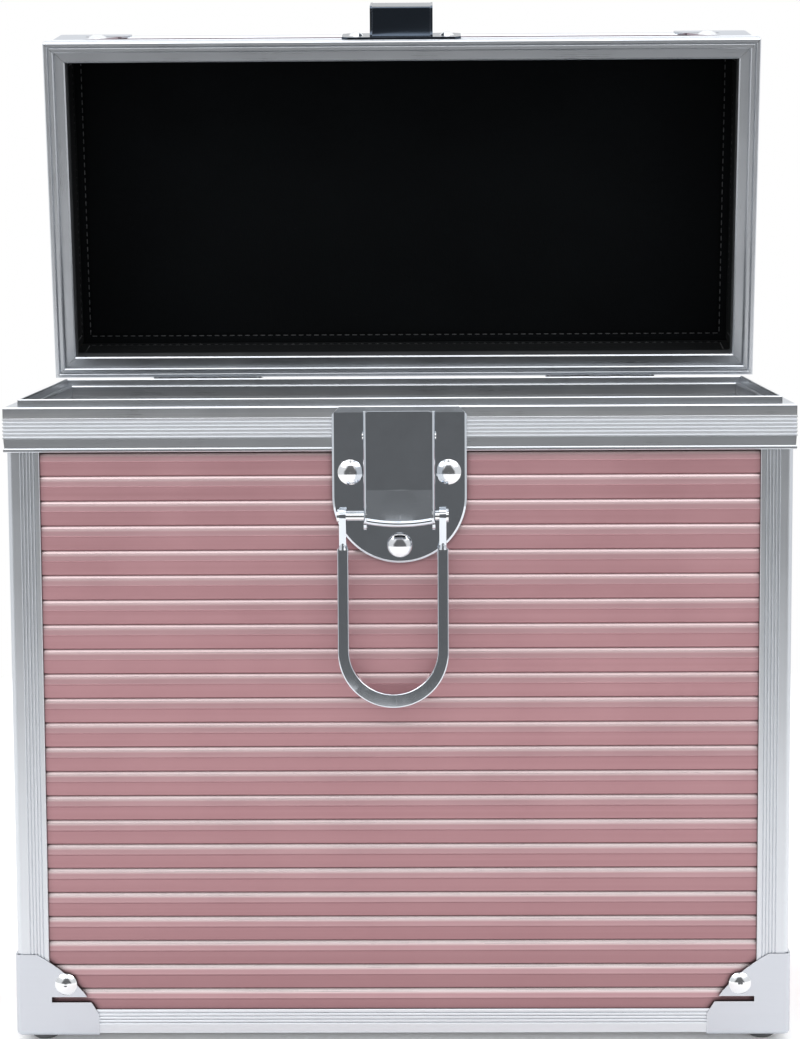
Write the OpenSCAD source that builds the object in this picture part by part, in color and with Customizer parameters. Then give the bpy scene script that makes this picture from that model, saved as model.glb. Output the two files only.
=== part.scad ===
// Carrying case for 12-inch records: a ribbed box with aluminium edge
// rails, a lid on two stop hinges, a draw latch with a wire bail, and a
// folding carrying handle on the lid. Drawn with the lid standing open.
// Millimetres, +Z up, -Y is the front. The origin is on the floor, under
// the middle of the whole open case.

/* [Case] */
// Width over the corner rails
case_w = 345; // [335:1:380]
// Depth over the corner rails
case_d = 163; // [140:1:200]
// Height of the body, from its underside to the lid seam
body_h = 282; // [262:1:320]
// Height of the lid, from the seam to its top face
lid_h = 55; // [55:1:80]
// Angle by which the lid stands open
lid_open = 81.5; // [0:0.5:81.5]

/* [Walls] */
// Thickness of the boards in the walls, the lid and the floor
board_t = 4; // [3:0.5:4.5]
// Thickness of the lining inside
lining_t = 1.5; // [1:0.1:1.7]
// Depth of the boards' outer face behind the rails' outer face
board_in = 2.2; // [2:0.1:2.4]

/* [Ribbed skin] */
// Distance from one rib to the next
rib_pitch = 11; // [8:0.5:16]
// Depth of the groove between two ribs
rib_depth = 0.9; // [0.4:0.1:1]
// Depth of the ribs' faces behind the rails' outer face
rib_in = 0.8; // [0.6:0.1:0.9]
// Height of the first rib's top below the seam
rib_first = 19.7; // [18:0.1:26]

/* [Rails] */
// Width of each leg of a corner rail
rail_w = 14.2; // [12:0.1:15]
// Thickness of the rails
rail_t = 1.2; // [1:0.1:1.3]
// Height of the rails along the bottom and along the lid's top
edge_h = 11; // [10:0.5:13]
// Height of the lid's rim at the seam
rim_h = 18.5; // [18:0.1:18.5]
// Height of the body's rim at the seam
body_rim_h = 19.8; // [19:0.1:19.9]
// Width of the rims across the wall
rim_w = 8.7; // [8.7:0.1:11]
// Height of the tongue on the body's rim
tongue_h = 3.2; // [2:0.1:3.2]
// Gap at each mitred corner
mitre_gap = 0.12; // [0.05:0.01:0.3]

/* [Corner protectors] */
// Size of each lobe
prot_size = 36.4; // [34:0.1:36.4]
// Thickness of the sheet
prot_t = 0.9; // [0.7:0.1:1]

/* [Feet and rivets] */
// Height of the feet
foot_h = 3.6; // [2.6:0.1:6]
// Radius of the feet
foot_r = 6; // [4:0.5:8]
// Radius of the protectors' rivet heads
rivet_r = 4.9; // [3:0.1:5]
// Height of the protectors' rivet heads
rivet_h = 2; // [1.2:0.1:2.4]

/* [Hinges] */
// Distance of each hinge's middle from the case's middle
hinge_x = 98; // [70:1:120]
// Half the width of a hinge's leaves
hinge_half = 27; // [27:0.5:34]
// Radius of a knuckle
knuckle_r = 2.7; // [2.5:0.1:2.7]
// Radius of a hinge pin
pin_r = 1.25; // [1:0.05:1.4]
// Reach of the hinge's stop ears behind its axis
stop_reach = 12.5; // [9:0.5:15]

/* [Latch] */
// Half the width of the latch's plate
plate_half = 29.5; // [29:0.1:32]
// Height of the latch's plate
plate_h = 69; // [66:0.5:70]
// Half the width of the lever
lever_half = 15.6; // [15:0.05:15.6]
// Distance of the lever's pivot below the seam
lever_z = 12.8; // [12.4:0.1:13]
// Distance of the bail's axle below the seam
axle_z = 48; // [46:0.5:50]
// Length of the bail, from its axle to the middle of its bend
bail_l = 80.9; // [80.9:0.1:81.4]
// How much wider the bar is in the middle of the bend
bail_low = 1.2; // [0.4:0.1:1.6]
// Half the distance between the bail's legs, middle to middle
bail_half = 21.9; // [21.9:0.1:22.4]
// Width of the bail's bar
bail_w = 5; // [4.4:0.1:5]
// Thickness of the bail's bar
bail_t = 3.8; // [3:0.1:3.8]
// How far the bail sits to the left of the middle
bail_side = 3; // [0:0.1:3]

/* [Handle] */
// Half the distance between the handle's legs
handle_half = 60; // [55:1:75]
// Height of the handle's pivot above the lid
handle_up = 9.5; // [9.5:0.1:12]
// Distance of the grip's middle from the pivot
handle_l = 31; // [28:0.5:36]
// Half the length of the grip
grip_half = 51; // [40:1:51]
// Half the thickness of the grip
grip_r = 8.4; // [7:0.1:8.5]

/* [Hidden] */
$fn = 48;

hw = case_w / 2;
hd = case_d / 2;
zb = foot_h + prot_t;            // underside of the rails
zs = zb + body_h;                // the seam
inner = board_in + board_t;      // boards' inner face, behind the rails' face
lined = inner + lining_t;        // lining's inner face
rim_out = 1.4;                   // how far the rims stand out
groove_n = 5;                    // fine grooves on each rail
hinge_n = rim_out + 0.2 + knuckle_r;     // hinge axis behind the back rails
yh = hd + hinge_n;
plate_q = 1.45;                  // latch plate's back, before the front rails
plate_t = 1.2;
plate_f = plate_q + plate_t;
lever_q = 7.4;                   // lever's pivot
axle_q = 7.0;                    // bail's axle
lever_top = 1.7;                 // lever's top edge, below the seam
bend_r = 1.6;                    // lever's outer bends
seam_gap = 0.1;                  // between the two rims when closed
tongue_in = 4.6;                  // tongue's outer face, behind the rails
tongue_t = 1.6;
flange_t = 0.95;                 // the rims' inner flange
web_q = 10.1;                    // lever's web, inner face
web_t = 1.1;
lip_z = -36;                     // where the finger lip bends out
lip_slope = 20;
lip_low = -50.4;                 // middle of its bowed edge
lip_bow = 75;
hem_r = 1.3;
lip_q = 16.974;                  // the hem's front
lid_top = zs + lid_h;
y_front = -hd - lip_q;
y_back = yh + (lid_h + handle_up + grip_r) * sin(lid_open)
    - (yh - handle_l - 5) * cos(lid_open);
y_shift = -(y_front + y_back) / 2;

// ---------------------------------------------------------------- helpers

module place() translate([0, y_shift, 0]) children();

// Turns what is drawn as if closed to where the open lid holds it
module on_lid() place() translate([0, yh, zs]) rotate([-lid_open, 0, 0])
    translate([0, -yh, -zs]) children();

// A wall's own frame: X along it, -Y outwards, y = 0 at the rails' face
module front() translate([0, -hd, 0]) children();
module back() rotate([0, 0, 180]) translate([0, -hd, 0]) children();
module left() translate([-hw, 0, 0]) rotate([0, 0, -90]) children();
module right() translate([hw, 0, 0]) rotate([0, 0, 90]) children();

// A profile of (outwards, up), run along X over a length
module along(len) translate([-len / 2, 0, 0]) mirror([0, 1, 0])
    rotate([90, 0, 90]) linear_extrude(len) children();

// A shape of (right, up), thick from q0 to q1 in front of the front rails
module facing(q0, q1) translate([0, -hd - q0, zs]) rotate([90, 0, 0])
    linear_extrude(q1 - q0) children();

// A shape of (in front of the front rails, above the seam), from x0 to x1
module beside(x0, x1) translate([x0, -hd, zs]) mirror([0, 1, 0])
    rotate([90, 0, 90]) linear_extrude(x1 - x0) children();

// A round bar along X, at q in front of the front rails
module bar(q, z, r, x0, x1) translate([x0, -hd - q, zs + z])
    rotate([0, 90, 0]) cylinder(r = r, h = x1 - x0);

// A plain plate, given by its two far corners
module plate(a, b) translate(a) cube([b[0] - a[0], b[1] - a[1], b[2] - a[2]]);

module dome(r, h) {
    big = (r * r + h * h) / (2 * h);
    intersection() {
        translate([0, 0, h - big]) sphere(big);
        cylinder(r = r + 1, h = h + 1);
    }
}

module rounded(w, d, r) {
    square([w - 2 * r, d], center = true);
    square([w, d - 2 * r], center = true);
    for (x = [-1, 1], y = [-1, 1])
        translate([x * (w / 2 - r), y * (d / 2 - r)]) circle(r);
}

// Points of a row of fine V grooves in a face at height h, from s0 on
function fine(s0, step, n, h, deep, half) = [for (i = [0 : n - 1])
    for (k = [-1, 0, 1]) [s0 + i * step + k * half, h - (k == 0 ? deep : 0)]];

// ---------------------------------------------------------------- panels

// Ribs of the skin: the groove between two ribs, the rib's two faces and
// the crease between them
function rib(z) = [
    [-rib_in - rib_depth, z],
    [-rib_in - 0.45, z - 1.0],
    [-rib_in - 0.36, z - 1.5],
    [-rib_in, z - 0.41 * rib_pitch + 0.2],
    [-rib_in - 0.16, z - 0.41 * rib_pitch - 0.1],
    [-rib_in - 0.1, z - 0.41 * rib_pitch - 0.5],
    [-rib_in - 0.12, z - rib_pitch + 0.7]];

module ribbed(len, z0, z1, first) {
    n = ceil((z1 - z0) / rib_pitch) + 2;
    z = first + rib_pitch * ceil((z1 - first) / rib_pitch);
    along(len) intersection() {
        polygon(concat(
            [for (k = [0 : n]) each rib(z - k * rib_pitch)],
            [[-board_in, z - (n + 1) * rib_pitch], [-board_in, z]]));
        translate([-board_in, z0]) square([board_in, z1 - z0]);
    }
}

module board_wall(len, z0, z1) along(len)
    translate([-inner, z0]) square([board_t, z1 - z0]);

module lining_wall(len, z0, z1) along(len)
    translate([-lined, z0]) square([lining_t, z1 - z0]);

wall_lo = zb + rail_t;
wall_hi = zs - 1.6;
skin_lo = zb + edge_h + 0.05;
long_l = case_w - 2 * board_in;
short_l = case_d - 2 * inner - 0.02;
long_s = case_w - 2 * rail_w - 0.1;
short_s = case_d - 2 * rail_w - 0.1;

module front_board() color("#7a5c3e") front() board_wall(long_l, wall_lo, wall_hi);
module back_board() color("#7a5c3e") back() board_wall(long_l, wall_lo, wall_hi);
module side_boards() color("#7a5c3e") {
    left() board_wall(short_l, wall_lo, wall_hi);
    right() board_wall(short_l, wall_lo, wall_hi);
}
module bottom_board() color("#202022")
    plate([-hw + inner, -hd + inner, wall_lo],
        [hw - inner, hd - inner, wall_lo + board_t]);

module front_skin() color("#b5868c") front() ribbed(long_s, skin_lo, wall_hi, zs - rib_first);
module back_skin() color("#b5868c") back() ribbed(long_s, skin_lo, wall_hi, zs - rib_first);
module left_skin() color("#b5868c") left() ribbed(short_s, skin_lo, wall_hi, zs - rib_first);
module right_skin() color("#b5868c") right() ribbed(short_s, skin_lo, wall_hi, zs - rib_first);

floor_z = wall_lo + board_t;
line_lo = floor_z + lining_t;
module front_lining() color("#121214")
    front() lining_wall(case_w - 2 * inner, floor_z, wall_hi);
module back_lining() color("#121214")
    back() lining_wall(case_w - 2 * inner, floor_z, wall_hi);
module side_linings() color("#121214") {
    left() lining_wall(case_d - 2 * lined - 0.02, floor_z, wall_hi);
    right() lining_wall(case_d - 2 * lined - 0.02, floor_z, wall_hi);
}
module floor_lining() color("#121214")
    plate([-hw + lined + 0.01, -hd + lined + 0.01, wall_lo + board_t],
        [hw - lined - 0.01, hd - lined - 0.01, line_lo]);

// ---------------------------------------------------------------- rails

// Section of a corner rail, its outer corner at the origin
module corner_section() {
    leg = fine(6, 1.45, groove_n, 0, 0.35, 0.4);
    r = 2.5;
    rev = [for (i = [len(leg) - 1 : -1 : 0]) leg[i]];
    polygon(concat(
        [[rail_w, rail_t], [rail_w, 0.3], [rail_w - 0.3, 0]],
        [for (p = rev) [p[0], -p[1]]],
        [for (a = [0 : 9 : 90]) [r - r * sin(a), r - r * cos(a)]],
        [for (p = leg) [-p[1], p[0]]],
        [[0, rail_w - 0.3], [0.3, rail_w], [rail_t, rail_w], [rail_t, rail_t]]));
}

module four_corners(z0, z1) for (x = [0, 1], y = [0, 1])
    mirror([x, 0, 0]) mirror([0, y, 0])
        translate([-hw, -hd, z0]) linear_extrude(z1 - z0) corner_section();

module corner_rails() color("#b9bfc4") four_corners(zb, zs - 1.6);

// Section of a bottom rail, (outwards, up), its outer corner at the origin
module edge_section() {
    g = fine(edge_h - 6.2, 1.5, 4, 0, 0.35, 0.4);
    polygon(concat(
        [[-14, 0], [-0.8, 0], [-0.23, 0.23], [0, 0.8]],
        [for (p = g) [p[1], p[0]]],
        [[0, edge_h - 0.3], [-0.3, edge_h], [-rail_t, edge_h],
            [-rail_t, rail_t], [-14, rail_t]]));
}

module bottom_rails_long() color("#c9ced3") {
    front() translate([0, 0, zb]) along(long_s) edge_section();
    back() translate([0, 0, zb]) along(long_s) edge_section();
}
module bottom_rails_short() color("#c9ced3") {
    left() translate([0, 0, zb]) along(short_s) edge_section();
    right() translate([0, 0, zb]) along(short_s) edge_section();
}

// Outer face of a rim, from the seam away: a smooth band, a band of fine
// grooves, a bevel and a lip
function rim_face(h, bevel) = concat(
    [[0.6, 0], [1.2, 0.6], [1.2, 4.9], [rim_out, 5.05]],
    [for (p = fine(6.2, 1.62, groove_n, rim_out, 0.4, 0.65)) [p[1], p[0]]],
    [[rim_out, bevel], [1.1, bevel + 0.2], [0.8, h - 1.8],
        [1.25, h - 1.25], [1.25, h - 0.4], [0.85, h], [0, h],
        [0, 1.5]]);

// Body's rim, (outwards, down from the seam), with its tongue
module body_rim_section() polygon(concat(
    [[-rim_w, 0.6], [-rim_w + 0.6, 0], [-tongue_in - tongue_t, 0],
        [-tongue_in - tongue_t, -tongue_h + 0.5],
        [-tongue_in - tongue_t + 0.4, -tongue_h], [-tongue_in - 0.4, -tongue_h],
        [-tongue_in, -tongue_h + 0.4], [-tongue_in, 0]],
    rim_face(body_rim_h, 13.8),
    [[-rim_w + flange_t, 1.5], [-rim_w + flange_t, 16], [-rim_w, 16]]));

// Lid's rim, (outwards, up from the seam): a ledge with a fine groove, and
// behind it a step up that makes room for the tongue
module lid_rim_section() {
    g = seam_gap;
    s = tongue_h + 0.4;
    i = tongue_in - 1;
    face = rim_face(rim_h, 13.6);
    polygon(concat(
        [[-i, g + 0.5], [-i + 0.5, g], [-1.6, g], [-1.1, g + 0.5], [-0.6, g]],
        [[0.7, g], [1.2, g + 0.6]], [for (k = [2 : len(face) - 1]) face[k]],
        [[-i + 1.2, 1.5], [-i + 1.2, s + 1.4], [-rim_w + flange_t, s + 1.4],
            [-rim_w + flange_t, 16], [-rim_w, 16], [-rim_w, s + 0.6],
            [-rim_w + 0.6, s], [-i, s]]));
}

// A rail run along one wall and cut at both ends to the mitre
module mitred(len, deep) intersection() {
    children();
    linear_extrude(600) polygon([
        [-len / 2 - 5 + mitre_gap / 2, -5], [len / 2 + 5 - mitre_gap / 2, -5],
        [len / 2 - deep - mitre_gap / 2, deep], [-len / 2 + deep + mitre_gap / 2, deep]]);
    translate([0, deep, 0]) linear_extrude(600)
        translate([0, -deep / 2 - 1]) rounded(len + 2 * rim_out,
            deep + 2 + 2 * rim_out, 2.6);
}

module body_rim_one(len) mitred(len, 20)
    translate([0, 0, zs]) mirror([0, 0, 1]) along(len + 8) body_rim_section();
module lid_rim_one(len) mitred(len, 20)
    translate([0, 0, zs]) along(len + 8) lid_rim_section();

module body_rim_long() color("#b4babf") {
    front() body_rim_one(case_w);
    back() body_rim_one(case_w);
}
module body_rim_short() color("#b4babf") {
    left() body_rim_one(case_d);
    right() body_rim_one(case_d);
}

// ---------------------------------------------------------------- corners

module lobe() intersection() {
    square(prot_size);
    translate([-23.6, -23.6]) circle(68.2, $fn = 180);
}

module slotted_lobe() difference() {
    lobe();
    translate([15.2, 14.6]) square([30, 2.5]);
}

// One protector: three lobes on the three faces that meet at a corner
module protector() {
    o = -prot_t;
    r = 2.4;
    b = prot_size;
    difference() {
        intersection() {
            union() {
                rotate([90, 0, 0]) translate([0, 0, -r]) linear_extrude(r + 2)
                    slotted_lobe_full();
                rotate([90, 0, 90]) translate([0, 0, -2]) linear_extrude(r + 2)
                    slotted_lobe_full();
                translate([0, 0, o - 1]) linear_extrude(r + 2) lobe_full();
            }
            union() {
                translate([o, o + r, o + r]) cube([b - o, b - o - r, b - o - r]);
                translate([o + r, o, o + r]) cube([b - o - r, b - o, b - o - r]);
                translate([o + r, o + r, o]) cube([b - o - r, b - o - r, b - o]);
                translate([o + r, o + r, o + r]) cylinder(r = r, h = b - o - r);
                translate([o + r, o + r, o + r]) rotate([0, 90, 0])
                    cylinder(r = r, h = b - o - r);
                translate([o + r, o + r, o + r]) rotate([-90, 0, 0])
                    cylinder(r = r, h = b - o - r);
                translate([o + r, o + r, o + r]) sphere(r);
            }
        }
        cube(b + 10);
    }
}

// The same lobes, run on past the corner so that they meet there
module lobe_full() union() {
    lobe();
    translate([-3, -3]) square([prot_size + 3, 3.01]);
    translate([-3, -3]) square([3.01, prot_size + 3]);
}
module slotted_lobe_full() union() {
    slotted_lobe();
    translate([-3, -3]) square([prot_size + 3, 3.01]);
    translate([-3, -3]) square([3.01, prot_size + 3]);
}

module at_corners(up) for (x = [0, 1], y = [0, 1])
    mirror([x, 0, 0]) mirror([0, y, 0])
        translate([-hw, -hd, up ? zb : lid_top]) mirror([0, 0, up ? 0 : 1])
            children();

module protector_rivets() {
    a = 21.7;
    b = 22.9;
    translate([a, -prot_t, b]) rotate([90, 0, 0]) dome(rivet_r, rivet_h);
    translate([-prot_t, a, b]) rotate([0, -90, 0]) dome(rivet_r, rivet_h);
    translate([a, a, -prot_t]) rotate([180, 0, 0]) dome(rivet_r, rivet_h);
}

module body_corner_protectors() color("#d3d8dd") at_corners(true) protector();
module body_protector_rivets() color("#dfe2e5") at_corners(true) protector_rivets();
module lid_corner_protectors() color("#d3d8dd") at_corners(false) protector();
module lid_protector_rivets() color("#dfe2e5") at_corners(false) protector_rivets();

module feet() color("#1c1c1e") at_corners(true)
    translate([10.6, 12, -zb]) {
        translate([0, 0, 1]) cylinder(r = foot_r, h = foot_h - 1);
        cylinder(r1 = foot_r - 1.4, r2 = foot_r, h = 1);
    }

// ---------------------------------------------------------------- hinges

knuckle_l = (2 * (hinge_half - 2.2) - 1.2) / 5;

// The stretch of one knuckle, 0 to 4, widened by some gap
function knuckle_x(i) = -hinge_half + 2.2 + i * (knuckle_l + 0.3);

// At a hinge's axis: X along it, -Y towards the case, Z up
module at_hinges() for (x = [-hinge_x, hinge_x])
    translate([x, yh, zs]) children();

module knuckles(set, bore) for (i = set) translate([knuckle_x(i), 0, 0])
    rotate([0, 90, 0]) difference() {
        cylinder(r = knuckle_r, h = knuckle_l);
        translate([0, 0, -1]) cylinder(r = bore, h = knuckle_l + 2);
    }

// A leaf, from the axis down; the other leaf's knuckles keep their room
module leaf(set, others, bore) {
    difference() {
        translate([-hinge_half, -knuckle_r - 0.2, -rim_h + 1])
            cube([2 * hinge_half, plate_t, rim_h - 1.2]);
        for (i = others) translate([knuckle_x(i) - 0.3, -4, -3.3])
            cube([knuckle_l + 0.6, 5, 4]);
        rotate([0, 90, 0]) translate([0, 0, -hinge_half - 1])
            cylinder(r = bore, h = 2 * hinge_half + 2);
        for (x = [-1, 1]) translate([x * (hinge_half - 0.4) - 2.5, -4, -3.3])
            cube([5, 5, 4]);
    }
    knuckles(set, bore);
}

module stop_ear() difference() {
    rotate([90, 0, 90]) linear_extrude(1.6) union() {
        polygon([[-2.9, -16], [-2.9, -3.4], [-1.4, 0.5], [1, 2.1], [3, 1.95],
            [stop_reach, 1.95 + (stop_reach - 3) * tan(8.5)],
            [stop_reach, stop_reach * 0.13], [-1.7, -16]]);
        circle(2.6);
    }
    translate([-1, 0, 0]) rotate([0, 90, 0]) cylinder(r = pin_r, h = 4);
}

module hinge_body_leaves() color("#c4c8cc") at_hinges() {
    leaf([0, 2, 4], [1, 3], pin_r);
    translate([-hinge_half, 0, 0]) stop_ear();
    translate([hinge_half - 1.6, 0, 0]) stop_ear();
}
module hinge_lid_leaves() color("#c4c8cc") at_hinges()
    mirror([0, 0, 1]) leaf([1, 3], [0, 2, 4], pin_r + 0.07);
module hinge_pins() color("#9ea2a6") at_hinges()
    translate([-hinge_half, 0, 0]) rotate([0, 90, 0])
        cylinder(r = pin_r, h = 2 * hinge_half);

module leaf_rivets() for (x = [-16, 0, 16])
    translate([x, -knuckle_r - 0.2 + plate_t, -10.5])
        rotate([-90, 0, 0]) dome(2.8, 1.4);
module hinge_body_rivets() color("#dfe2e5") at_hinges() leaf_rivets();
module hinge_lid_rivets() color("#dfe2e5") at_hinges()
    mirror([0, 0, 1]) leaf_rivets();

// ---------------------------------------------------------------- latch

module shield() difference() {
    union() {
        translate([-plate_half, -plate_h + plate_half])
            square([2 * plate_half, plate_h - plate_half - 0.3]);
        translate([0, -plate_h + plate_half]) circle(plate_half, $fn = 96);
    }
    for (x = [-1, 1]) translate([x * plate_half, -0.3]) rotate(45)
        square(4.6, center = true);
}

// What the bevel round the plate's sides and its round end takes away
module plate_bevel() {
    zc = zs - plate_h + plate_half;
    for (s = [-1, 1]) translate([0, -hd, zc]) linear_extrude(plate_h) polygon([
        [s * (plate_half - 1.35), -plate_f - 0.4],
        [s * (plate_half + 0.45), -plate_f + 1.2],
        [s * (plate_half + 2), -plate_f - 0.4]]);
    intersection() {
        translate([0, -hd - plate_f + 1.2, zc]) rotate([90, 0, 0]) difference() {
            cylinder(r = plate_half + 3, h = 1.6, $fn = 180);
            translate([0, 0, -0.1]) cylinder(r1 = plate_half + 0.5625,
                r2 = plate_half - 1.4625, h = 1.8, $fn = 180);
        }
        translate([-50, -hd - 20, zc - 50]) cube([100, 20, 50]);
    }
}

module latch_plate() color("#8d9196") {
    difference() {
        facing(plate_q, plate_f) shield();
        plate_bevel();
        // the top edge is rolled back
        beside(-plate_half - 1, plate_half + 1) polygon([[plate_f, -2.7],
            [plate_f + 1, -2.7], [plate_f + 1, 1], [plate_q + 0.3, 1],
            [plate_q + 0.3, -0.3]]);
    }
    for (x = [-lever_half + 1.5, lever_half - 2.7]) beside(x, x + 1.2) difference() {
        union() {
            translate([plate_q + 0.6, -lever_z - 2.4])
                square([lever_q - plate_q - 0.6, 4.8]);
            translate([lever_q, -lever_z]) circle(2.4);
        }
        translate([lever_q, -lever_z]) circle(1.3);
    }
}

module latch_plate_rivets() color("#dfe2e5")
    for (p = [[-21.5, -28.9], [21.5, -28.9], [0, -61]])
        translate([p[0], -hd - plate_f, zs + p[1]]) rotate([90, 0, 0])
            dome(5.5, 2.1);

module latch_lever_pin() color("#a2a6aa")
    bar(lever_q, -lever_z, 1.3, -lever_half - 0.5, lever_half + 0.5);

// Side of the lever: a strip beside the web, round where the axle goes
module lever_side() difference() {
    union() {
        polygon([[web_q + web_t, -lever_top], [web_q + web_t, -axle_z + 5],
            [axle_q + 3.9, -axle_z], [axle_q - 3.9, -axle_z],
            [3.1, -axle_z + 3], [3.1, -lever_z], [web_q, -lever_top]]);
        translate([axle_q, -axle_z]) circle(3.9);
        translate([axle_q - 2.6, -axle_z - 3.2]) square([5.2, 3.2]);
        translate([axle_q, -axle_z - 3.2]) circle(2.6);
    }
    translate([lever_q, -lever_z]) circle(1.37);
    translate([axle_q, -axle_z]) circle(1.76);
}

// The finger lip: sloping outwards, with a shallow dish, its lower edge bowed
// like a smile and hemmed
module finger_lip() {
    out = 15 * tan(lip_slope);
    half = 2 * asin(14.2 / lip_bow);
    intersection() {
        difference() {
            beside(-14.2, 14.2) polygon([[web_q, lip_z + 0.02],
                [web_q + web_t, lip_z + 0.02], [web_q + web_t, lip_z],
                [web_q + web_t + out, lip_z - 15], [web_q + out, lip_z - 15]]);
            translate([0, -hd - 154.64, zs + 8.28]) sphere(150.2, $fn = 240);
        }
        translate([0, -hd, zs + lip_low + lip_bow]) rotate([90, 0, 0])
            cylinder(r = lip_bow, h = 40, $fn = 240);
    }
    translate([0, -hd - lip_q + hem_r, zs + lip_low + lip_bow]) rotate([90, 0, 0])
        rotate([0, 0, -90 - half / 2]) rotate_extrude(angle = half, $fn = 240)
            translate([lip_bow, 0]) circle(hem_r, $fn = 24);
}

module latch_lever() color("#8d9196") {
    intersection() {
        union() {
            // the web
            facing(web_q, web_q + web_t) intersection() {
                translate([-lever_half, lip_z])
                    square([2 * lever_half, -lip_z - lever_top]);
                translate([0, -26.7]) rounded(2 * lever_half, 50, 3);
            }
            beside(-lever_half, -lever_half + 1.2) lever_side();
            beside(lever_half - 1.2, lever_half) lever_side();
        }
        // bent round at both sides
        translate([-lever_half, -hd - web_q - web_t, zs - 60]) linear_extrude(70) {
            translate([0, bend_r]) square([2 * lever_half, 16]);
            translate([bend_r, 0]) square([2 * (lever_half - bend_r), 16]);
            for (x = [bend_r, 2 * lever_half - bend_r])
                translate([x, bend_r]) circle(bend_r);
        }
    }
    finger_lip();
    // collars round the axle
    for (x = [-lever_half + 1.1, lever_half - 2.7]) beside(x, x + 1.6) difference() {
        translate([axle_q, -axle_z]) circle(3);
        translate([axle_q, -axle_z]) circle(1.76);
    }
}

module bail_axle() color("#a2a6aa") translate([-bail_side, 0, 0]) {
    bar(axle_q, -axle_z, 1.7, -bail_half - 1.6, bail_half + 1.6);
    for (x = [-bail_half - 2.5, bail_half + 1.5])
        bar(axle_q, -axle_z, 2.5, x, x + 1);
}

module bail_section(r = 0.7) rounded(bail_w, bail_t, r);

module latch_bail() color("#8d9196")
    translate([-bail_side, -hd - axle_q, zs - axle_z]) {
        bend = bail_l - bail_half;
        for (x = [-bail_half, bail_half]) {
            // leg
            translate([x, 0, -bend]) linear_extrude(bend - 14) bail_section();
            // neck between the leg and the flattened end
            translate([x, 0, -14.5]) cylinder(r1 = 2.5, r2 = 1.45, h = 3.5);
            // flattened end with its eye
            difference() {
                union() {
                    translate([x - 1.5, 0, 0]) rotate([0, 90, 0])
                        cylinder(r = 3.4, h = 3);
                    translate([x - 1.5, 0, 0]) rotate([90, 0, 90])
                        linear_extrude(3) polygon([[-3.3, 0], [3.3, 0],
                            [1.5, -12.5], [-1.5, -12.5]]);
                }
                translate([x - 3, 0, 0]) rotate([0, 90, 0])
                    cylinder(r = 1.76, h = 6);
            }
        }
        for (low = [0, bail_low]) {
            translate([0, 0, -bend - low]) rotate([90, 0, 0]) rotate([0, 0, 180])
                rotate_extrude(angle = 180, $fn = 96) translate([bail_half, 0])
                    bail_section();
            for (x = [-bail_half, bail_half])
                translate([x, 0, -bend - low]) linear_extrude(low + 1) bail_section();
        }
    }

// The catch on the lid: a plate with a hook for the bail, made of a bent
// tongue between two cheeks, and inside it a crowned seat for the bend
module latch_catch() color("#4a4d52") {
    facing(plate_q, plate_f) difference() {
        translate([-29, 5.5]) square([58, 23.5]);
        for (x = [-29, 29], z = [5.5, 29]) translate([x, z]) rotate(45)
            square(4, center = true);
    }
    // tongue and its upturned lip
    beside(-14.6, 14.6) polygon([[plate_f - 0.6, 5.9], [3.2, 6.0], [7.0, 8.3],
        [15.6, 9.6], [16.6, 10.2], [16.9, 11.4], [17.2, 31.2], [16.8, 31.6],
        [15.9, 31.5], [15.8, 12.2], [15.2, 11], [6.8, 9.7], [3.2, 7.6],
        [plate_f - 0.6, 7.6]]);
    // cheeks
    for (x = [-15.25, 14.15]) beside(x, x + 1.1)
        polygon([[plate_f - 0.6, 5.6], [3.6, 5.6], [7.4, 7.9], [16.2, 9.2],
            [17.2, 10.4], [17.4, 31], [15.4, 31], [9.7, 18.4], [9.4, 15.4],
            [plate_f - 0.6, 15.4]]);
    // seat
    intersection() {
        facing(plate_f - 0.6, 8.8) intersection() {
            translate([-3, 11]) circle(19.1, $fn = 96);
            translate([3, 11]) circle(19.1, $fn = 96);
        }
        beside(-14.6, 14.6) polygon([[plate_f - 1, 7.2], [4, 7.2], [10, 9.8],
            [10, 40], [plate_f - 1, 40]]);
    }
}
module latch_catch_rivets() color("#dfe2e5") for (x = [-22.2, 22.2])
    translate([x, -hd - plate_f, zs + 17]) rotate([90, 0, 0]) dome(3.6, 1.7);

// ---------------------------------------------------------------- lid

lid_lo = zs + 1.6;
lid_in_lo = zs + tongue_h + 1.9;
lid_hi = lid_top - inner;
lid_skin_hi = lid_top - edge_h - 0.05;

module lid_top_board() color("#7a5c3e")
    plate([-hw + board_in, -hd + board_in, lid_top - inner],
        [hw - board_in, hd - board_in, lid_top - board_in]);
module lid_front_board() color("#7a5c3e") front() board_wall(long_l, lid_in_lo, lid_hi);
module lid_back_board() color("#7a5c3e") back() board_wall(long_l, lid_in_lo, lid_hi);
module lid_side_boards() color("#7a5c3e") {
    left() board_wall(short_l, lid_in_lo, lid_hi);
    right() board_wall(short_l, lid_in_lo, lid_hi);
}

module lid_front_skin() color("#b5868c") front() ribbed(long_s, lid_lo, lid_skin_hi, zs);
module lid_back_skin() color("#b5868c") back() ribbed(long_s, lid_lo, lid_skin_hi, zs);
module lid_side_skins() color("#b5868c") {
    left() ribbed(short_s, lid_lo, lid_skin_hi, zs);
    right() ribbed(short_s, lid_lo, lid_skin_hi, zs);
}
module lid_top_skin() color("#b5868c") translate([0, 0, lid_top]) rotate([-90, 0, 0])
    ribbed(long_s, -hd + rail_w + 0.05, hd - rail_w - 0.05, 0);

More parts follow.
